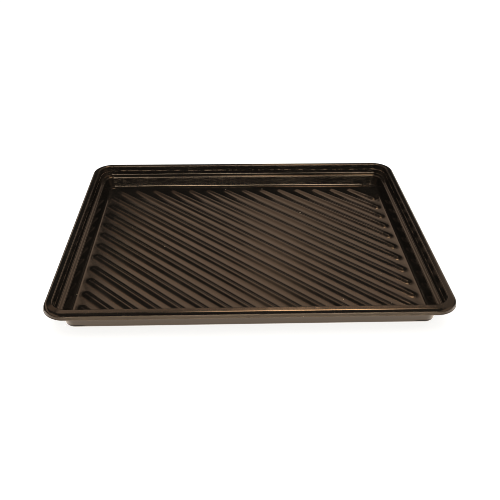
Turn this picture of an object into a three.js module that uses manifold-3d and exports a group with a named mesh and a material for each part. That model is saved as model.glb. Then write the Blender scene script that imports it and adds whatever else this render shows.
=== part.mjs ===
// Oil drain pan: a shallow open drip tray, formed in one piece from one plastic sheet.
//
// Units are millimetres, +Z up, +X along the long side, +Y to the back. The origin is the
// centre of the face that the tray rests on.
//
// The sheet runs, from the outside in: a hanging lip, a rolled shoulder, a rim that rises
// to a crown, an upper wall, a level ledge, a lower wall, and the floor. Both faces of the
// sheet are modelled, so the rim and the ledge are hollow underneath. The floor carries
// diagonal beads that stand up from it and are hollow underneath too.

import * as THREE from "three";
import Module from "manifold-3d";

// ---------- driving dimensions ----------
// A name ending in _U is an inset from the outermost edge of the lip.

const LENGTH = 609.6; // over the lip, along X
const WIDTH = 508.0; // over the lip, along Y
const HEIGHT = 44.45; // resting face to the crown of the rim
const SHEET = 2.5; // thickness of the sheet

const LIP_BOTTOM_Z = 34.4; // lower edge of the hanging lip
const LIP_FLARE = 0.6; // how far that edge turns out
const LIP_FLARE_HEIGHT = 1.5;
const SHOULDER_RADIUS = 6.6; // from the lip's face to the top of the rim
const SHOULDER_CENTRE_Z = 36.85;
const RIM_SLOPE = 10.4; // degrees, the top of the rim falls towards the lip
const CROWN_RADIUS = 1.8;
const CROWN_CENTRE_U = 12.2;

const UPPER_DRAFT = 9; // degrees from upright
const LEDGE_Z = 25.1; // top face of the ledge
const LEDGE_FILLET = 2.5; // upper wall to ledge, on the upper face
const LEDGE_EDGE_U = 24.4; // where the ledge and the lower wall would meet if sharp
const LEDGE_EDGE_RADIUS = 2.2;

const LOWER_DRAFT = 13; // degrees from upright
const FOOT_FILLET = 5.0; // lower wall to floor, on the upper face
const FOOT_RADIUS = 4.5; // lower wall to resting face, on the lower face

const CORNER_RADIUS_AT_LIP = 36; // plan radius of the corners, at the outermost edge
const CORNER_RADIUS_RATE = 0.75; // loss of that radius per millimetre of inset

const BEAD_PITCH = 25.6; // between the centre lines of two beads, square to them
const BEAD_OFFSET = -6.4; // from the centre of the floor to the nearest centre line
const BEAD_HALF_WIDTH = 10.5; // the foot blends into the floor with a wide, soft fillet
const BEAD_HEIGHT = 3.0;
const BEAD_END_X = 259.5; // a centre line stops at this distance from the middle in X
const BEAD_END_Y = 207.5; // and at this one in Y
const BEAD_SHORTEST = 18; // shorter centre lines get no bead

// Segments in each arc.
const FOOT_STEPS = 4;
const LEDGE_STEPS = 3;
const CROWN_STEPS = 4;
const SHOULDER_STEPS = 6;
const SHOULDER_UNDER_STEPS = 4;
const CORNER_STEPS = 8;
const BEAD_END_STEPS = 4;

// Bead sections from root to crown: [fraction of the half width, fraction of the height].
// Both begin below their base face, so that they cut through it cleanly.
const BEAD_SECTION = [ // height above the floor
  [0.93, -0.15], [0.86, 0.03], [0.68, 0.14],
  [0.45, 0.43], [0.19, 0.85], [0.06, 1.0],
];
const HOLLOW_SECTION = [ // height above the resting face
  [0.93, -0.2], [0.84, 0.03], [0.62, 0.17],
  [0.35, 0.5], [0.1, 0.92],
];

// ---------- profile of the sheet ----------
// A point is [u, z], with u the inset from the outermost edge of the lip.

const radians = THREE.MathUtils.degToRad;

// The point of a circle that faces a direction in degrees: 0 is straight up and 90 points
// away from the middle of the tray. A negative radius gives the opposite point.
function pointOnArc([centreU, centreZ], radius, direction) {
  const angle = radians(direction);
  return [centreU - radius * Math.sin(angle), centreZ + radius * Math.cos(angle)];
}

function arc(centre, radius, from, to, steps) {
  const points = [];
  for (let i = 0; i <= steps; i++)
    points.push(pointOnArc(centre, radius, from + ((to - from) * i) / steps));
  return points;
}

// The bend between a level face and a drafted wall that would meet it at wallU if sharp,
// from the level face to the wall. The arc's centre lies above the level face, or below
// it if the radius is negative.
function bend({ wallU, levelZ, draft, radius, steps }) {
  const turn = 90 - draft;
  const centre = [wallU + radius * Math.tan(radians(turn / 2)), levelZ + radius];
  return arc(centre, -radius, 0, -turn, steps);
}

const crownCentre = [CROWN_CENTRE_U, HEIGHT - CROWN_RADIUS];
const shoulderCentre = [LIP_FLARE + SHOULDER_RADIUS, SHOULDER_CENTRE_Z];
const upperTan = Math.tan(radians(UPPER_DRAFT));
const lowerTan = Math.tan(radians(LOWER_DRAFT));

// The upper wall is tangent to the crown. The backs lie one sheet thickness behind.
const [wallTopU, wallTopZ] = pointOnArc(crownCentre, CROWN_RADIUS, UPPER_DRAFT - 90);
const upperWall = (z) => wallTopU + (wallTopZ - z) * upperTan;
const lowerWall = (z) => LEDGE_EDGE_U + (LEDGE_Z - z) * lowerTan;
const upperWallBack = (z) => upperWall(z) - SHEET / Math.cos(radians(UPPER_DRAFT));
const lowerWallBack = (z) => lowerWall(z) - SHEET / Math.cos(radians(LOWER_DRAFT));

// Upper face of the sheet, from the floor out to the edge of the lip.
function upperFace() {
  const footFillet = bend({
    wallU: lowerWall(SHEET),
    levelZ: SHEET,
    draft: LOWER_DRAFT,
    radius: FOOT_FILLET,
    steps: FOOT_STEPS,
  });
  const ledgeEdge = bend({
    wallU: LEDGE_EDGE_U,
    levelZ: LEDGE_Z,
    draft: LOWER_DRAFT,
    radius: -LEDGE_EDGE_RADIUS,
    steps: LEDGE_STEPS,
  });
  const ledgeFillet = bend({
    wallU: upperWall(LEDGE_Z),
    levelZ: LEDGE_Z,
    draft: UPPER_DRAFT,
    radius: LEDGE_FILLET,
    steps: LEDGE_STEPS,
  });
  return [
    ...footFillet,
    ...ledgeEdge.reverse(),
    ...ledgeFillet,
    ...arc(crownCentre, CROWN_RADIUS, UPPER_DRAFT - 90, 0, CROWN_STEPS),
    pointOnArc(crownCentre, CROWN_RADIUS, RIM_SLOPE),
    ...arc(shoulderCentre, SHOULDER_RADIUS, RIM_SLOPE, 90, SHOULDER_STEPS),
    [LIP_FLARE, LIP_BOTTOM_Z + LIP_FLARE_HEIGHT],
    [0, LIP_BOTTOM_Z],
  ];
}

// Lower face, from the lip back in to the resting face.
function lowerFace() {
  const underRadius = SHOULDER_RADIUS - SHEET;
  const shoulderUnder = arc(shoulderCentre, underRadius, 90, RIM_SLOPE, SHOULDER_UNDER_STEPS);

  // The rim's sloping underside meets the back of the upper wall.
  const [rimU, rimZ] = shoulderUnder.at(-1);
  const rimTan = Math.tan(radians(RIM_SLOPE));
  const meetZ = (rimZ + rimTan * (upperWallBack(0) - rimU)) / (1 + rimTan * upperTan);

  const ledgeUnderZ = LEDGE_Z - SHEET;
  const ledgeUnder = bend({
    wallU: upperWallBack(ledgeUnderZ),
    levelZ: ledgeUnderZ,
    draft: UPPER_DRAFT,
    radius: LEDGE_FILLET + SHEET,
    steps: LEDGE_STEPS,
  });
  const foot = bend({
    wallU: lowerWallBack(0),
    levelZ: 0,
    draft: LOWER_DRAFT,
    radius: FOOT_RADIUS,
    steps: FOOT_STEPS,
  });
  return [
    [SHEET, LIP_BOTTOM_Z],
    [LIP_FLARE + SHEET, LIP_BOTTOM_Z + LIP_FLARE_HEIGHT],
    ...shoulderUnder,
    [upperWallBack(meetZ), meetZ],
    ...ledgeUnder.reverse(),
    [lowerWallBack(ledgeUnderZ), ledgeUnderZ],
    ...foot.reverse(),
  ];
}

// ---------- outlines and lofts ----------

const wasm = await Module();
wasm.setup();

// Points of a level arc, anticlockwise seen from above. Angles are in radians.
function levelArc([x, y, z], radius, start, sweep, steps) {
  const points = [];
  for (let i = 0; i <= steps; i++) {
    const angle = start + (sweep * i) / steps;
    points.push([x + radius * Math.cos(angle), y + radius * Math.sin(angle), z]);
  }
  return points;
}

// One rounded rectangle at inset u and height z.
function trayRing([u, z]) {
  const radius = CORNER_RADIUS_AT_LIP - CORNER_RADIUS_RATE * u;
  const cornerX = LENGTH / 2 - u - radius;
  const cornerY = WIDTH / 2 - u - radius;
  const signs = [[1, 1], [-1, 1], [-1, -1], [1, -1]];
  return signs.flatMap(([signX, signY], quarter) => {
    const centre = [signX * cornerX, signY * cornerY, z];
    return levelArc(centre, radius, (quarter * Math.PI) / 2, Math.PI / 2, CORNER_STEPS);
  });
}

// One round-ended outline of a bead around its centre line.
function beadRing([[x0, y0], [x1, y1]], halfWidth, z) {
  const along = Math.atan2(y1 - y0, x1 - x0);
  return [
    ...levelArc([x1, y1, z], halfWidth, along - Math.PI / 2, Math.PI, BEAD_END_STEPS),
    ...levelArc([x0, y0, z], halfWidth, along + Math.PI / 2, Math.PI, BEAD_END_STEPS),
  ];
}

// Joins outlines of equal length into one closed solid, with flat faces over the first and
// the last. It is the right way out if the first is the bottom; flip turns it over.
function loft(rings, flip = false) {
  const count = rings[0].length;
  const triangles = [];
  const push = (a, b, c) => (flip ? triangles.push(a, c, b) : triangles.push(a, b, c));

  for (let k = 0; k + 1 < rings.length; k++)
    for (let i = 0; i < count; i++) {
      const j = (i + 1) % count;
      const here = k * count;
      const next = here + count;
      push(here + i, here + j, next + j);
      push(here + i, next + j, next + i);
    }

  const capFaces = (ring) =>
    THREE.ShapeUtils.triangulateShape(
      ring.map(([x, y]) => new THREE.Vector2(x, y)),
      [],
    );
  const last = (rings.length - 1) * count;
  capFaces(rings[0]).forEach(([a, b, c]) => push(a, c, b));
  capFaces(rings.at(-1)).forEach(([a, b, c]) => push(last + a, last + b, last + c));

  return new wasm.Manifold(
    new wasm.Mesh({
      numProp: 3,
      vertProperties: new Float32Array(rings.flat(2)),
      triVerts: new Uint32Array(triangles),
    }),
  );
}

// ---------- solids ----------

// The sheet without its beads. The rings run over the upper face and back under the lower
// one, so the first ring is the floor and the last one the resting face.
function makeSheet() {
  return loft([...upperFace(), ...lowerFace()].map(trayRing), true);
}

// Centre lines of the beads, each as its two ends. x + y is constant along each one.
function beadCentreLines() {
  const lines = [];
  const sumStep = BEAD_PITCH * Math.SQRT2;
  const reach = Math.ceil((BEAD_END_X + BEAD_END_Y) / sumStep);
  for (let k = -reach; k <= reach; k++) {
    const sum = BEAD_OFFSET * Math.SQRT2 + k * sumStep;
    const x0 = Math.max(-BEAD_END_X, sum - BEAD_END_Y);
    const x1 = Math.min(BEAD_END_X, sum + BEAD_END_Y);
    if ((x1 - x0) * Math.SQRT2 >= BEAD_SHORTEST)
      lines.push([[x0, sum - x0], [x1, sum - x1]]);
  }
  return lines;
}

// One ridge of the given section along every centre line, on the face at baseZ.
function makeRidges(lines, section, baseZ) {
  const ridge = (line) =>
    loft(
      section.map(([width, height]) =>
        beadRing(line, width * BEAD_HALF_WIDTH, baseZ + height * BEAD_HEIGHT),
      ),
    );
  return wasm.Manifold.union(lines.map(ridge));
}

function makeTray() {
  const lines = beadCentreLines();
  const beads = makeRidges(lines, BEAD_SECTION, SHEET);
  const hollows = makeRidges(lines, HOLLOW_SECTION, 0);
  return makeSheet().add(beads).subtract(hollows);
}

// ---------- the part ----------

// Flat-shaded geometry of a solid.
function toGeometry(solid) {
  const { vertProperties, triVerts } = solid.getMesh();
  const geometry = new THREE.BufferGeometry();
  geometry.setAttribute("position", new THREE.BufferAttribute(vertProperties, 3));
  geometry.setIndex(new THREE.BufferAttribute(triVerts, 1));
  const flat = geometry.toNonIndexed();
  flat.computeVertexNormals();
  return flat;
}

const darkPlastic = new THREE.MeshStandardMaterial({
  name: "dark_brown_plastic",
  color: 0x2e2520,
  roughness: 0.34,
  metalness: 0.0,
});

const tray = new THREE.Mesh(toGeometry(makeTray()), darkPlastic);
tray.name = "drip_tray";

const oilDrainPan = new THREE.Group();
oilDrainPan.name = "oil_drain_pan";
oilDrainPan.add(tray);

export default oilDrainPan;
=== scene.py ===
"""Looks for a one-piece formed plastic drip tray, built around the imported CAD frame.

The tray lies level on z = 0, open upwards and centred on the origin: its length runs along x,
its width along y, and its front faces -y. Diagonal beads stand on its floor. A fine mesh of
the sheet replaces the faceted CAD node. The sheet is laid out in millimetres and built in
metres; materials, lights and camera are in metres.
"""

import math

import bpy
from mathutils import Matrix, Vector, noise
from mathutils.geometry import delaunay_2d_cdt, tessellate_polygon


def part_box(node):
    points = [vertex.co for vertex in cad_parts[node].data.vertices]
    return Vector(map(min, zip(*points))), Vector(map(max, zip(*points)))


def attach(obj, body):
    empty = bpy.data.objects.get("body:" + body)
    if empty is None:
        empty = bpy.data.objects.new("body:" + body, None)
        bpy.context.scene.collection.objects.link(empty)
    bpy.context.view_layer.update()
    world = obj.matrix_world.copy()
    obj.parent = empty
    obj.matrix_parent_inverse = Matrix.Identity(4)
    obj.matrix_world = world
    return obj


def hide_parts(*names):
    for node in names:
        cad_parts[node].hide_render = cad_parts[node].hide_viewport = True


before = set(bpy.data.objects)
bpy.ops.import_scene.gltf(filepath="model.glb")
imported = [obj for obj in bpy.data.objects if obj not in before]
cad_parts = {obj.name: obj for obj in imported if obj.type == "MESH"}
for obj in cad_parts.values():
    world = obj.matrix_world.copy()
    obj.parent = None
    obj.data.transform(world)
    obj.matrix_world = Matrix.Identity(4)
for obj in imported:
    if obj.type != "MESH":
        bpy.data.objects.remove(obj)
scene = bpy.context.scene
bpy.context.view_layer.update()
cad_low, cad_high = [tuple(point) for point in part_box("drip_tray")]

# ------------------------------------------------------------------ dimensions, mm and degrees
# A name in _U is an inset from the tray's outer edge, one in _Z a height above z = 0.
LENGTH, WIDTH, HEIGHT = [(high - low) * 1000.0 for low, high in zip(cad_low, cad_high)]
SHEET = 2.5  # thickness

LIP_BOTTOM_Z = 34.4
LIP_FLARE = 0.6
LIP_FLARE_HEIGHT = 1.5
EDGE_BREAK = 0.35  # size of the broken corners of the lip's edge
SHOULDER_R, SHOULDER_U, SHOULDER_Z = 6.6, 7.2, 36.85
RIM_SLOPE = 10.4
CROWN_R, CROWN_U = 1.8, 12.2
CROWN_Z = HEIGHT - CROWN_R
UPPER_DRAFT = 9.0
LEDGE_Z = 25.1
LEDGE_FILLET = 2.5
LEDGE_EDGE_U = 24.4
LEDGE_EDGE_R = 2.2
LOWER_DRAFT = 13.0
FOOT_FILLET = 5.0  # upper side, floor to wall
FOOT_R = 4.5  # underside
INNER_EASE = 0.8  # size of the eased inside corners of the underside
CORNER_R, CORNER_RATE = 36.0, 0.75  # plan radius, and its loss per mm of inset
CORNER_STEPS = 20
LONG_STEPS, SHORT_STEPS = 72, 60

BEAD_PITCH = 25.6  # square to the beads
BEAD_OFFSET = -6.4  # of the bead numbered 0, from the middle
BEAD_W = 10.5  # half the width at the foot
BEAD_H = 3.0
BEAD_RC, BEAD_RF = 4.75, 13.6  # crown and foot fillet radii
BEAD_END_X, BEAD_END_Y = 259.5, 207.5
BEAD_SHORTEST = 18.0
BEAD_SIDE_SPACING = 24  # between points along a bead's sides
BEAD_END_STEPS = 14

TRIM_BELOW, TRIM_ABOVE = 0.5, 1.0  # reach of the wandering trim line about LIP_BOTTOM_Z
# (frequency per mm, noise slice, height) of the trim line's slow and quick waves
TRIM_WAVES = ((0.035, 3.1, 0.35), (0.19, 7.7, 0.12))
TRIM_LIFT = 0.15


def radians(degrees):
    return degrees * math.pi / 180.0


def arc(centre, radius, start, end, steps, sign=1.0):
    """(u, z) points whose outward direction turns from start to end degrees.

    0 is up and 90 is away from the tray's middle; sign is -1 for a hollow curve.
    """
    out = []
    for i in range(steps + 1):
        angle = radians(start + (end - start) * i / steps)
        out.append((
            centre[0] - sign * radius * math.sin(angle),
            centre[1] + sign * radius * math.cos(angle),
        ))
    return out


def between(a, b, steps):
    """Points strictly between a and b."""
    return [
        (a[0] + (b[0] - a[0]) * i / steps, a[1] + (b[1] - a[1]) * i / steps)
        for i in range(1, steps)
    ]


# ------------------------------------------------------------------ profile of the sheet
UPPER_TAN, LOWER_TAN = math.tan(radians(UPPER_DRAFT)), math.tan(radians(LOWER_DRAFT))


def upper_wall(z):
    """Inset of the upper wall's inner face."""
    top_u = CROWN_U + CROWN_R * math.cos(radians(UPPER_DRAFT))
    top_z = CROWN_Z + CROWN_R * math.sin(radians(UPPER_DRAFT))
    return top_u + (top_z - z) * UPPER_TAN


def lower_wall(z):
    return LEDGE_EDGE_U + (LEDGE_Z - z) * LOWER_TAN


def upper_back(z):
    """Inset of the upper wall's outer face."""
    return upper_wall(z) - SHEET / math.cos(radians(UPPER_DRAFT))


def lower_back(z):
    return lower_wall(z) - SHEET / math.cos(radians(LOWER_DRAFT))


def setback(radius, draft):
    """From the corner of a wall and a level face to where a fillet leaves the level face."""
    return radius * math.tan(radians((90 - draft) / 2))


def upper_profile():
    """(inset, z) from the floor, up over the crown and out to the edge of the lip."""
    foot = (lower_wall(SHEET) + setback(FOOT_FILLET, LOWER_DRAFT), SHEET + FOOT_FILLET)
    ledge_edge = (LEDGE_EDGE_U - setback(LEDGE_EDGE_R, LOWER_DRAFT), LEDGE_Z - LEDGE_EDGE_R)
    ledge_fillet = (
        upper_wall(LEDGE_Z) + setback(LEDGE_FILLET, UPPER_DRAFT),
        LEDGE_Z + LEDGE_FILLET,
    )
    crown = (CROWN_U, CROWN_Z)
    shoulder = (SHOULDER_U, SHOULDER_Z)
    upper_turn, lower_turn = -(90 - UPPER_DRAFT), -(90 - LOWER_DRAFT)
    points = arc(foot, FOOT_FILLET, 0, lower_turn, 12, -1.0)
    # (steps of the straight leading to the curve, curve)
    for steps, curve in (
        (5, arc(ledge_edge, LEDGE_EDGE_R, lower_turn, 0, 9)),
        (2, arc(ledge_fillet, LEDGE_FILLET, 0, upper_turn, 9, -1.0)),
        (4, arc(crown, CROWN_R, upper_turn, 0, 9)),
        (1, arc(crown, CROWN_R, 0, RIM_SLOPE, 2)[1:]),
        (3, arc(shoulder, SHOULDER_R, RIM_SLOPE, 90, 16)),
    ):
        points += between(points[-1], curve[0], steps) + curve
    # the edge of the lip: a slight flare, then a broken corner
    return points + [
        (LIP_FLARE, LIP_BOTTOM_Z + LIP_FLARE_HEIGHT),
        (LIP_FLARE * 0.35, LIP_BOTTOM_Z + LIP_FLARE_HEIGHT * 0.55),
        (0.02, LIP_BOTTOM_Z + EDGE_BREAK),
        (EDGE_BREAK * 0.6, LIP_BOTTOM_Z + 0.05),
    ]


def eased_corner(u, z, slope, wall_tan, middle):
    """Three points round an inside corner; middle is the second one's pull-back in u and z."""
    size = INNER_EASE
    return [
        (u - size, z - size * slope),
        (u - size * middle[0], z - size * middle[1]),
        (u + size * wall_tan, z - size),
    ]


def lower_profile():
    """(inset, z) from the edge of the lip back under the sheet to the resting face."""
    points = [
        (SHEET - EDGE_BREAK * 0.6, LIP_BOTTOM_Z),
        (SHEET, LIP_BOTTOM_Z + EDGE_BREAK),
        (LIP_FLARE + SHEET, LIP_BOTTOM_Z + LIP_FLARE_HEIGHT),
    ]
    points += arc((SHOULDER_U, SHOULDER_Z), SHOULDER_R - SHEET, 90, RIM_SLOPE, 10)
    # where the underside of the rim meets the back of the upper wall
    rim_u, rim_z = points[-1]
    slope = math.tan(radians(RIM_SLOPE))
    meet_z = (rim_z + slope * (upper_back(0) - rim_u)) / (1 + slope * UPPER_TAN)
    points += eased_corner(upper_back(meet_z), meet_z, slope, UPPER_TAN, middle=(0.25, 0.28))

    under_z = LEDGE_Z - SHEET
    radius = LEDGE_FILLET + SHEET
    ledge = (upper_back(under_z) + setback(radius, UPPER_DRAFT), under_z + radius)
    points += arc(ledge, radius, 90 + UPPER_DRAFT, 180, 9)
    points += eased_corner(lower_back(under_z), under_z, 0.0, LOWER_TAN, middle=(0.22, 0.25))
    foot = (lower_back(0) + setback(FOOT_R, LOWER_DRAFT), FOOT_R)
    return points + arc(foot, FOOT_R, 90 + LOWER_DRAFT, 180, 10)


def ring_points(inset, z):
    """A rounded rectangle, anticlockwise seen from above."""
    radius = CORNER_R - CORNER_RATE * inset
    half_x, half_y = LENGTH / 2 - inset - radius, WIDTH / 2 - inset - radius
    corners = []
    for x, y, start in (
        (half_x, half_y, 0), (-half_x, half_y, 90), (-half_x, -half_y, 180), (half_x, -half_y, 270)
    ):
        angles = [radians(start + 90.0 * i / CORNER_STEPS) for i in range(CORNER_STEPS + 1)]
        corners.append([(x + radius * math.cos(a), y + radius * math.sin(a)) for a in angles])
    outline = []
    for i, corner in enumerate(corners):
        steps = SHORT_STEPS if i % 2 else LONG_STEPS
        outline += corner + between(corner[-1], corners[(i + 1) % 4][0], steps)
    return [(x, y, z) for x, y in outline]


# ------------------------------------------------------------------ beads
def bead_lines():
    """End points of the centre lines, on the diagonals x + y = constant."""
    lines = []
    for k in range(-20, 21):
        total = BEAD_OFFSET * math.sqrt(2) + k * (BEAD_PITCH * math.sqrt(2))
        x0, x1 = max(-BEAD_END_X, total - BEAD_END_Y), min(BEAD_END_X, total + BEAD_END_Y)
        if (x1 - x0) * math.sqrt(2) >= BEAD_SHORTEST:
            lines.append(((x0, total - x0), (x1, total - x1)))
    return lines


def bead_section(crown_r, fillet_r, fillet_steps, crown_steps):
    """(distance from the centre line, height) from foot to crown: fillet, flank, round crown."""
    low, high = 0.0, radians(80)
    for _ in range(60):  # the flank angle that gives the bead's width and height
        angle = (low + high) / 2
        flank = (BEAD_W - (crown_r + fillet_r) * math.sin(angle)) / math.cos(angle)
        height = (crown_r + fillet_r) * (1 - math.cos(angle)) + flank * math.sin(angle)
        if height < BEAD_H:
            low = angle
        else:
            high = angle
    angle = (low + high) / 2
    points = []
    for i in range(fillet_steps + 1):
        a = angle * i / fillet_steps
        points.append((BEAD_W - fillet_r * math.sin(a), fillet_r * (1 - math.cos(a))))
    for i in range(crown_steps):
        a = angle * (1 - i / crown_steps)
        points.append((crown_r * math.sin(a), BEAD_H - crown_r * (1 - math.cos(a))))
    return points


def bead_ring(p, q, reach, z, side_points):
    """An outline at a distance of reach around the centre line p-q, with round ends."""
    heading = math.atan2(q[1] - p[1], q[0] - p[0])
    out = []
    for (x, y), start, (x2, y2) in ((q, heading - math.pi / 2, p), (p, heading + math.pi / 2, q)):
        for i in range(BEAD_END_STEPS + 1):
            a = start + math.pi * i / BEAD_END_STEPS
            out.append((x + reach * math.cos(a), y + reach * math.sin(a), z))
        a = start + math.pi
        for i in range(1, side_points + 1):
            t = i / (side_points + 1)
            side_x = x + (x2 - x) * t + reach * math.cos(a)
            side_y = y + (y2 - y) * t + reach * math.sin(a)
            out.append((side_x, side_y, z))
    return out


# ------------------------------------------------------------------ mesh
class Builder:
    def __init__(self):
        self.verts, self.faces = [], []

    def add(self, points):
        start = len(self.verts)
        self.verts += points
        return list(range(start, start + len(points)))

    def bridge(self, loops, flip):
        """Quads between each loop and the next."""
        for a, b in zip(loops, loops[1:]):
            for i in range(len(a)):
                j = (i + 1) % len(a)
                face = (a[i], a[j], b[j], b[i])
                self.faces.append(face[::-1] if flip else face)

    def level_triangle(self, triangle, up):
        """A level triangle, wound to face up or down."""
        a, b, c = (self.verts[i] for i in triangle)
        area = (b[0] - a[0]) * (c[1] - a[1]) - (b[1] - a[1]) * (c[0] - a[0])
        self.faces.append(tuple(triangle[::-1] if (area < 0) == up else triangle))

    def fill_flat(self, outline, holes, up):
        """Triangles between an outline and its holes, all at one height."""
        ids, edges, owner = [], [], []  # owner: the hole a point belongs to
        for number, loop in enumerate([outline] + holes):
            at, count = len(ids), len(loop)
            edges += [(at + i, at + (i + 1) % count) for i in range(count)]
            ids += loop
            owner += [number] * count
        points = [Vector(self.verts[i][:2]) for i in ids]
        _, _, triangles, origin, _, _ = delaunay_2d_cdt(points, edges, [], 1, 1e-7)
        for triangle in triangles:
            if not all(origin[i] for i in triangle):
                raise RuntimeError("the floor's triangulation made a new point")
            local = [origin[i][0] for i in triangle]
            owners = {owner[i] for i in local}
            if len(owners) == 1 and 0 not in owners:
                continue  # a triangle across one bead
            self.level_triangle([ids[i] for i in local], up)


def add_bead(builder, p, q, section, base_z, up):
    """One side of a bead; returns its foot, a hole in the flat sheet."""
    side_points = max(1, int(math.dist(p, q) / BEAD_SIDE_SPACING))
    loops = [builder.add(bead_ring(p, q, reach, base_z + h, side_points)) for reach, h in section]
    builder.bridge(loops, flip=not up)
    crown = loops[-1]
    for triangle in tessellate_polygon([[Vector(builder.verts[i]) for i in crown]]):
        builder.level_triangle([crown[i] for i in triangle], up)
    return loops[0]


def wander(x, y, z):
    """Moves the points at the lip's edge up and down, as a trim line wanders."""
    if LIP_BOTTOM_Z - TRIM_BELOW < z < LIP_BOTTOM_Z + TRIM_ABOVE:
        slow, quick = [
            height * noise.noise(Vector((x * frequency, y * frequency, noise_slice)))
            for frequency, noise_slice, height in TRIM_WAVES
        ]
        z += slow + quick + TRIM_LIFT
    return x, y, z


def build_mesh():
    builder = Builder()
    rings = [builder.add(ring_points(u, z)) for u, z in upper_profile() + lower_profile()]
    builder.bridge(rings, flip=True)
    section = bead_section(BEAD_RC, BEAD_RF, fillet_steps=9, crown_steps=5)
    # the underside has a tighter crown and a wider fillet
    hollow = bead_section(BEAD_RC * 0.5, BEAD_RF + BEAD_RC * 0.5, fillet_steps=4, crown_steps=5)
    top_holes, bottom_holes = [], []
    for p, q in bead_lines():
        top_holes.append(add_bead(builder, p, q, section, SHEET, up=True))
        bottom_holes.append(add_bead(builder, p, q, hollow, 0.0, up=False))
    builder.fill_flat(rings[0], top_holes, up=True)
    builder.fill_flat(rings[-1], bottom_holes, up=False)

    verts = [tuple(c / 1000.0 for c in wander(*point)) for point in builder.verts]
    mesh = bpy.data.meshes.new("tray_sheet")
    mesh.from_pydata(verts, [], builder.faces)
    mesh.validate(verbose=False)
    mesh.update()
    for polygon in mesh.polygons:
        polygon.use_smooth = True
    return mesh


tray = bpy.data.objects.new("tray_sheet", build_mesh())
scene.collection.objects.link(tray)


# ------------------------------------------------------------------ node helpers
class Nodes:
    """Short calls that add nodes to a tree and return output sockets."""

    def __init__(self, owner):
        owner.use_nodes = True
        self.tree = owner.node_tree
        self.tree.nodes.clear()

    def new(self, kind, inputs=None, **props):
        """Adds a node and returns the node itself."""
        node = self.tree.nodes.new(kind)
        for key, value in props.items():
            setattr(node, key, value)
        for key, value in (inputs or {}).items():
            self.put(node, key, value)
        return node

    def put(self, node, key, value):
        if isinstance(value, bpy.types.NodeSocket):
            self.tree.links.new(value, node.inputs[key])
        else:
            node.inputs[key].default_value = value

    def math(self, operation, *values, clamp=False):
        inputs = dict(enumerate(values))
        return self.new("ShaderNodeMath", inputs, operation=operation, use_clamp=clamp).outputs[0]

    def times(self, first, *others):
        for other in others:
            first = self.math("MULTIPLY", first, other)
        return first

    def plus(self, a, b):
        return self.math("ADD", a, b)

    def linear(self, value, factor, offset):
        return self.math("MULTIPLY_ADD", value, factor, offset)

    def noise(self, vector, scale, detail, rough):
        inputs = {"Vector": vector, "Scale": scale, "Detail": detail, "Roughness": rough}
        return self.new("ShaderNodeTexNoise", inputs).outputs["Fac"]

    def ramp(self, value, span, out=(0.0, 1.0)):
        """A smooth step from out[0] to out[1] as value crosses span."""
        inputs = dict(enumerate((value, *span, *out)))
        node = self.new("ShaderNodeMapRange", inputs, clamp=True, interpolation_type="SMOOTHSTEP")
        return node.outputs[0]

    def band(self, value, rise, fall):
        """1 between the two spans, fading to 0 across each."""
        return self.times(self.ramp(value, rise), self.ramp(value, fall, out=(1.0, 0.0)))

    def mix(self, factor, a, b):
        return self.new("ShaderNodeMix", {0: factor, 6: a, 7: b}, data_type="RGBA").outputs[2]

    def layer(self, base, cover, colour, strength):
        return self.mix(self.times(cover, strength), base, colour)

    def split(self, vector):
        return self.new("ShaderNodeSeparateXYZ", {0: vector}).outputs

    def bump(self, height, strength, distance, invert=False, **normal):
        inputs = {"Strength": strength, "Distance": distance, "Height": height, **normal}
        return self.new("ShaderNodeBump", inputs, invert=invert).outputs[0]


def rgba(r, g, b):
    return (r, g, b, 1.0)


def new_material(name):
    """A material with a Principled surface: material, nodes, surface node."""
    material = bpy.data.materials.new(name)
    nodes = Nodes(material)
    out = nodes.new("ShaderNodeOutputMaterial")
    surface = nodes.new("ShaderNodeBsdfPrincipled")
    nodes.put(out, 0, surface.outputs[0])
    return material, nodes, surface


# ------------------------------------------------------------------ tray material
DEEP_BROWN = rgba(0.0052, 0.0045, 0.0037)
DARK_BROWN = rgba(0.0078, 0.0066, 0.0053)
GRAIN_BROWN = rgba(0.011, 0.0090, 0.0070)
DUST = rgba(0.16, 0.125, 0.095)
# pale specks, and the colour of a painted glint on the front wall
PALE_SPECK_AND_GLINT = rgba(0.36, 0.30, 0.20)
SCRATCHED = rgba(0.12, 0.085, 0.06)
TRIMMED = rgba(0.13, 0.085, 0.055)
SPECULAR_TINT = rgba(1.0, 0.80, 0.62)

# Pale spots, in metres: x, y, z, radius. The first four are pale specks on the floor; the fifth is a
# painted glint on the front wall, and the last two are a pale smudge on the front wall.
MARKS = (
    (-0.1455, -0.0096, 0.0025, 0.0005),
    (-0.0371, 0.2104, 0.0025, 0.0016),
    (0.0370, 0.2090, 0.0025, 0.0013),
    (0.1058, 0.1106, 0.0025, 0.0012),
    # a painted glint on the front wall
    (0.0341, -0.2318, 0.0231, 0.0016),
    (0.0150, -0.2318, 0.0216, 0.0030),
    (0.0110, -0.2318, 0.0210, 0.0022),
)
FLOOR_MARK_TOP = 0.01  # marks below this height are placed in plan only
LARGE_MARK, LARGE_MARK_STRENGTH = 0.002, 0.45  # larger marks are fainter

# Families of scratches: turn about z in radians, seed of the pattern.
SCRATCHES = ((0.35, 0.0), (-0.5, 3.0), (1.35, 9.0))


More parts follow.
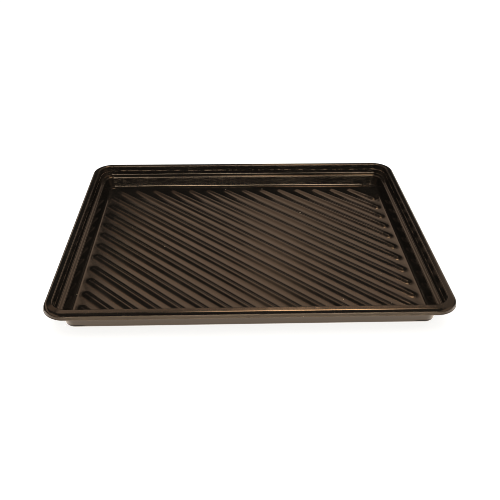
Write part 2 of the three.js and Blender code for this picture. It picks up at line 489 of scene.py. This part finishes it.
def speck_and_glint_mask(nodes, pos, normal_z):
    """Sparse specks on the upward faces, and the placed marks, one of them a painted glint."""
    cells = nodes.new("ShaderNodeTexVoronoi", {"Vector": pos, "Scale": 95.0})
    pick = nodes.new("ShaderNodeSeparateColor", {0: cells.outputs["Color"]}).outputs
    largest, rarity = 0.075, 0.955  # in cell widths; share of cells left empty
    near = nodes.math("LESS_THAN", cells.outputs["Distance"], nodes.times(pick[1], largest))
    chosen = nodes.math("GREATER_THAN", pick[0], rarity)
    specks = nodes.times(near, chosen, nodes.ramp(normal_z, span=(0.2, 0.7)))
    for x, y, z, radius in MARKS:
        at = pos
        if z < FLOOR_MARK_TOP:
            at = nodes.new("ShaderNodeMapping", {"Vector": pos, "Scale": (1.0, 1.0, 0.0)}).outputs[0]
            z = 0.0
        ends = {0: at, 1: (x, y, z)}
        away = nodes.new("ShaderNodeVectorMath", ends, operation="DISTANCE").outputs["Value"]
        ragged = nodes.noise(pos, scale=900.0, detail=2.0, rough=0.6)
        away = nodes.plus(away, nodes.times(ragged, radius * 0.8))
        spot = nodes.ramp(away, span=(radius * 2.0, radius * 1.5))
        strength = LARGE_MARK_STRENGTH if radius > LARGE_MARK else 1.0
        specks = nodes.math("MAXIMUM", specks, nodes.times(spot, strength))
    return specks


def scratch_mask(nodes, pos, z):
    """Short fine scratches in patches, thickest on the rim."""
    rim = nodes.ramp(z, span=(0.040, 0.0435))
    scratches = None
    for turn, seed in SCRATCHES:
        stretched = nodes.new("ShaderNodeMapping", {
            "Vector": pos,
            "Location": (seed, seed * 1.7, 0.0),
            "Rotation": (0.0, 0.0, turn),
            "Scale": (60.0, 1500.0, 60.0),
        }).outputs[0]
        fibres = nodes.noise(stretched, scale=1.0, detail=2.0, rough=0.5)
        patches = nodes.noise(pos, scale=31.0 + seed, detail=2.0, rough=0.5)
        line = nodes.times(
            nodes.ramp(fibres, span=(0.70, 0.78)), nodes.ramp(patches, span=(0.58, 0.70))
        )
        scratches = nodes.math("MAXIMUM", scratches, line) if scratches else line
    return nodes.times(scratches, nodes.linear(rim, factor=0.5, offset=0.35))


def trim_mask(nodes, pos, z):
    """Patches along the trimmed edge of the lip."""
    bottom = LIP_BOTTOM_Z / 1000
    edge = nodes.ramp(z, span=(bottom + 0.0012, bottom + 0.0002))
    above = nodes.math("GREATER_THAN", z, bottom - 0.001)
    patches = nodes.noise(pos, scale=70.0, detail=3.0, rough=0.7)
    return nodes.times(edge, above, nodes.ramp(patches, span=(0.4, 0.65)))


def lip_mask(nodes, x, y, z):
    """The hanging outer face of the lip."""
    depth = 0.0035
    past_x = nodes.math("SUBTRACT", nodes.math("ABSOLUTE", x), LENGTH / 2000 - depth)
    past_y = nodes.math("SUBTRACT", nodes.math("ABSOLUTE", y), WIDTH / 2000 - depth)
    outer = nodes.ramp(nodes.math("MAXIMUM", past_x, past_y), span=(0.0, 0.0015))
    return nodes.times(outer, nodes.ramp(z, span=(0.0415, 0.0395)))


def bead_end_mask(nodes, pos, x, z):
    """The bead ends near the left and right walls."""
    ends = nodes.ramp(nodes.math("ABSOLUTE", x), span=(0.243, 0.252))
    height = nodes.times(
        nodes.ramp(z, span=(0.0025, 0.0034)), nodes.ramp(z, span=(0.0060, 0.0056))
    )
    patches = nodes.noise(pos, scale=60.0, detail=3.0, rough=0.6)
    return nodes.times(ends, height, nodes.ramp(patches, span=(0.25, 0.5), out=(0.6, 1.0)))


def dark_plastic():
    material, nodes, surface = new_material("dark_brown_plastic")
    pos = nodes.new("ShaderNodeTexCoord").outputs["Object"]
    x, y, z = nodes.split(pos)
    normal_z = nodes.split(nodes.new("ShaderNodeNewGeometry").outputs["Normal"])[2]
    cloud = nodes.noise(pos, scale=9.0, detail=4.0, rough=0.55)
    fine = nodes.noise(pos, scale=260.0, detail=3.0, rough=0.6)
    dust_noise = nodes.noise(pos, scale=22.0, detail=5.0, rough=0.65)
    dust = nodes.times(  # a thin film on level faces
        nodes.ramp(normal_z, span=(0.75, 0.99)),
        nodes.ramp(dust_noise, span=(0.42, 0.75), out=(0.0, 0.04)),
    )
    specks = speck_and_glint_mask(nodes, pos, normal_z)
    scuffs = scratch_mask(nodes, pos, z)
    trim = trim_mask(nodes, pos, z)
    lip = lip_mask(nodes, x, y, z)
    bead_ends = bead_end_mask(nodes, pos, x, z)

    # colour: nearly black brown, a little uneven, under paler layers
    base = nodes.mix(nodes.ramp(cloud, span=(0.35, 0.7)), DEEP_BROWN, DARK_BROWN)
    base = nodes.mix(nodes.ramp(fine, span=(0.3, 0.75), out=(0.0, 0.35)), base, GRAIN_BROWN)
    base = nodes.mix(dust, base, DUST)
    # pale specks and the placed marks, one of which is a painted glint on the front wall
    base = nodes.layer(base, specks, PALE_SPECK_AND_GLINT, strength=0.85)
    base = nodes.layer(base, scuffs, SCRATCHED, strength=0.35)
    base = nodes.layer(base, trim, TRIMMED, strength=0.6)
    nodes.put(surface, "Base Color", base)

    # roughness: a glossy start, and what each covering adds to it
    sheen = nodes.noise(pos, scale=14.0, detail=4.0, rough=0.6)
    rough = nodes.linear(nodes.ramp(sheen, span=(0.3, 0.7)), factor=0.04, offset=0.085)
    fine_patches = nodes.ramp(fine, span=(0.3, 0.7))
    for cover, amount in (
        (fine_patches, 0.04), (scuffs, 0.20), (trim, 0.3), (lip, 0.30), (bead_ends, 0.10)
    ):
        rough = nodes.plus(rough, nodes.times(cover, amount))
    dust_amount = 1.2
    rough = nodes.math("ADD", rough, nodes.times(dust, dust_amount), clamp=True)
    nodes.put(surface, "Roughness", rough)
    specular = nodes.linear(bead_ends, factor=-0.40, offset=0.5)
    nodes.put(surface, "Specular IOR Level", specular)
    nodes.put(surface, "IOR", 1.54)
    nodes.put(surface, "Specular Tint", SPECULAR_TINT)

    # bump: slow waves and fine grain, both weaker on the rim, then the scratches
    below_rim = nodes.ramp(z, span=(0.036, 0.026))
    waves = nodes.noise(pos, scale=16.0, detail=1.5, rough=0.4)
    wave_strength = nodes.times(below_rim, 0.05)
    normal = nodes.bump(waves, wave_strength, distance=0.0012)
    grain = nodes.noise(pos, scale=1100.0, detail=2.0, rough=0.6)
    grain_strength = nodes.linear(below_rim, factor=0.10, offset=0.03)
    normal = nodes.bump(grain, grain_strength, distance=0.00012, Normal=normal)
    normal = nodes.bump(scuffs, strength=0.3, distance=0.0001, invert=True, Normal=normal)
    nodes.put(surface, "Normal", normal)
    return material


tray.data.materials.append(dark_plastic())
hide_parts("drip_tray")
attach(tray, "root")

# ------------------------------------------------------------------ floor
FLOOR_HALF = 9.0
FLOOR_Z = -0.0002
FLOOR_GREY = rgba(0.50, 0.50, 0.495)
FLOOR_DARK = rgba(0.03, 0.028, 0.025)
FLOOR_GLOW = rgba(1.0, 1.0, 0.99)
FLOOR_WARM_GLOW = rgba(1.0, 0.86, 0.72)  # as reflected


def floor_pale():
    material, nodes, surface = new_material("floor_pale")
    rays = nodes.new("ShaderNodeLightPath").outputs
    glossy = rays["Is Glossy Ray"]
    # in reflections the floor is dark to rays that run back (+y) at a low angle
    _, back, rise = nodes.split(nodes.new("ShaderNodeNewGeometry").outputs["Incoming"])
    far = nodes.times(
        nodes.ramp(back, span=(-0.20, -0.40)), nodes.ramp(rise, span=(0.50, 0.32))
    )
    near = nodes.math("SUBTRACT", 1.0, far)
    mirrored = nodes.times(glossy, nodes.linear(near, factor=1.33, offset=-0.53))
    glow = 0.55  # for every ray
    strength = nodes.linear(rays["Is Camera Ray"], factor=0.14, offset=nodes.plus(mirrored, glow))
    shade = nodes.times(glossy, nodes.math("SUBTRACT", 1.0, near))
    for key, value in (
        ("Base Color", nodes.mix(shade, FLOOR_GREY, FLOOR_DARK)),
        ("Roughness", 0.9),
        ("Specular IOR Level", 0.1),
        ("Emission Color", nodes.mix(glossy, FLOOR_GLOW, FLOOR_WARM_GLOW)),
        ("Emission Strength", strength),
    ):
        nodes.put(surface, key, value)
    return material


floor_mesh = bpy.data.meshes.new("floor")
floor_signs = ((-1, -1), (1, -1), (1, 1), (-1, 1))
floor_mesh.from_pydata(
    [(x * FLOOR_HALF, y * FLOOR_HALF, 0) for x, y in floor_signs], [], [(0, 1, 2, 3)]
)
floor = bpy.data.objects.new("floor", floor_mesh)
floor.location = (0, 0, FLOOR_Z)
scene.collection.objects.link(floor)
floor.data.materials.append(floor_pale())

# ------------------------------------------------------------------ world
PANEL_WARM = rgba(1.0, 0.76, 0.58)
LAMP_WARM = rgba(1.0, 0.68, 0.40)
GLOW_WARM = rgba(1.0, 0.68, 0.47)
FRONT_WARM = rgba(1.0, 0.93, 0.78)
BEHIND = (0.02, 0.12)  # span of y over which the lights behind the tray fade in


def reflected_room(nodes, rays):
    """Colour and strength that shiny surfaces see; x, y, z is the direction looked in."""
    x, y, z = nodes.split(nodes.new("ShaderNodeTexCoord").outputs["Generated"])

    def patch(across, x_band, z_band, y_span):
        return nodes.times(nodes.band(z, *z_band), nodes.band(across, *x_band), nodes.ramp(y, y_span))

    # a panel behind and above, reaching lower on the right, with a slanting left edge
    lower_edge = nodes.plus(z, nodes.ramp(x, span=(0.42, 0.56), out=(0.0, 0.30)))
    pivot_z, slant = 0.59, 0.75
    left_edge = nodes.linear(nodes.math("SUBTRACT", z, pivot_z), factor=slant, offset=x)
    panel = nodes.times(
        nodes.ramp(lower_edge, span=(0.45, 0.53)),
        nodes.ramp(z, span=(0.83, 0.88), out=(1.0, 0.0)),
        nodes.ramp(left_edge, span=(-0.25, -0.18), out=(0.03, 1.0)),
        nodes.ramp(x, span=(0.22, 0.31), out=(1.0, 0.30)),
        nodes.ramp(y, BEHIND),
    )
    left_glow = patch(x, ((-0.56, -0.44), (-0.27, -0.20)), ((0.57, 0.62), (0.70, 0.745)), BEHIND)
    lamp = patch(x, ((-0.12, 0.14), (0.19, 0.29)), ((0.87, 0.90), (0.94, 0.97)), BEHIND)
    front = patch(x, ((-0.45, -0.05), (0.24, 0.38)), ((0.12, 0.15), (0.21, 0.255)), (-0.70, -0.85))
    room = nodes.ramp(y, span=(-0.2, -0.8), out=(0.01, 0.03))
    # the small strong lights don't show in reflections of reflections
    deepest = 2.5
    direct = nodes.math("LESS_THAN", rays["Ray Depth"], deepest)
    lamp = nodes.times(lamp, direct)
    front = nodes.times(front, direct)
    # low patches behind, on both sides
    beside = patch(
        nodes.math("ABSOLUTE", x), ((0.42, 0.52), (0.68, 0.80)), ((-0.02, 0.05), (0.12, 0.22)),
        (0.20, 0.40),
    )
    # soft panels: one at the back left, and one on each side towards the front
    wide = nodes.times(
        nodes.ramp(x, span=(-0.50, -0.66)),
        nodes.band(z, rise=(0.20, 0.32), fall=(0.50, 0.58)),
        nodes.ramp(y, span=(-0.1, 0.2)),
    )
    sides = nodes.times(
        nodes.ramp(nodes.math("ABSOLUTE", x), span=(0.46, 0.62)),
        nodes.band(z, rise=(0.12, 0.24), fall=(0.62, 0.80)),
        nodes.ramp(y, span=(0.15, -0.05)),
    )
    soft = nodes.math("MAXIMUM", wide, sides)

    colour = nodes.mix(lamp, PANEL_WARM, LAMP_WARM)
    colour = nodes.mix(left_glow, colour, GLOW_WARM)
    colour = nodes.mix(front, colour, FRONT_WARM)
    panel_brightness = 1.30
    strength = nodes.plus(nodes.times(panel, panel_brightness), room)
    for light, brightness in (
        (left_glow, 0.55), (lamp, 34.0), (beside, 1.5), (front, 36.0), (soft, 1.1)
    ):
        strength = nodes.plus(strength, nodes.times(light, brightness))
    return colour, strength


def build_world():
    """One background for diffuse light, one for reflections and one for the camera."""
    world = bpy.data.worlds.new("studio")
    scene.world = world
    nodes = Nodes(world)
    rays = nodes.new("ShaderNodeLightPath").outputs

    def background(colour, strength):
        inputs = {"Color": colour, "Strength": strength}
        return nodes.new("ShaderNodeBackground", inputs).outputs[0]

    def choose(ray, otherwise, chosen):
        return nodes.new("ShaderNodeMixShader", {0: rays[ray], 1: otherwise, 2: chosen}).outputs[0]

    shiny = background(*reflected_room(nodes, rays))
    soft = background(rgba(1.0, 0.985, 0.96), strength=0.62)
    seen = background(rgba(1.0, 1.0, 1.0), strength=0.92)
    shader = choose("Is Camera Ray", choose("Is Glossy Ray", soft, shiny), seen)
    nodes.new("ShaderNodeOutputWorld", {0: shader})


build_world()


# ------------------------------------------------------------------ lights
def area(name, location, size, power, colour):
    """A soft light aimed at the origin, unseen in reflections."""
    light = bpy.data.lights.new(name, "AREA")
    light.shape = "RECTANGLE"
    light.size, light.size_y = size
    light.energy = power
    light.color = colour
    lamp = bpy.data.objects.new(name, light)
    lamp.location = location
    lamp.rotation_euler = (-Vector(location)).to_track_quat("-Z", "Y").to_euler()
    scene.collection.objects.link(lamp)
    lamp.visible_glossy = False
    lamp.visible_camera = False


area("key_soft", (0.0, 0.1, 2.6), size=(3.2, 3.2), power=26.0, colour=(1.0, 0.985, 0.96))
area("front_soft", (0.0, -2.4, 1.3), size=(2.6, 1.2), power=40.0, colour=(1.0, 0.97, 0.93))

# ------------------------------------------------------------------ camera
AZIMUTH, ELEVATION, ROLL = -0.038449, 0.565073, 0.0091073  # radians
DISTANCE = 1.1584987752
TARGET = Vector((0.0046576488, -0.01709239152, 0.0))

backward = Vector((
    math.sin(AZIMUTH) * math.cos(ELEVATION),
    -math.cos(AZIMUTH) * math.cos(ELEVATION),
    math.sin(ELEVATION),
))
level_right = (-backward).cross(Vector((0, 0, 1))).normalized()
level_up = level_right.cross(-backward)
right = math.cos(ROLL) * level_right + math.sin(ROLL) * level_up
up = -math.sin(ROLL) * level_right + math.cos(ROLL) * level_up

camera = bpy.data.cameras.new("camera")
camera.sensor_fit = "HORIZONTAL"
camera.sensor_width = 36.0
camera.lens = 47.1750264
camera.clip_end = 60.0
camera_object = bpy.data.objects.new("camera", camera)
scene.collection.objects.link(camera_object)
rotation = Matrix((right, up, backward)).transposed().to_4x4()
camera_object.matrix_world = Matrix.Translation(TARGET + backward * DISTANCE) @ rotation
scene.camera = camera_object

scene.view_settings.view_transform = "Standard"
scene.cycles.use_denoising = True
scene.cycles.filter_width = 0.9  # crisper than the default

bpy.context.view_layer.update()
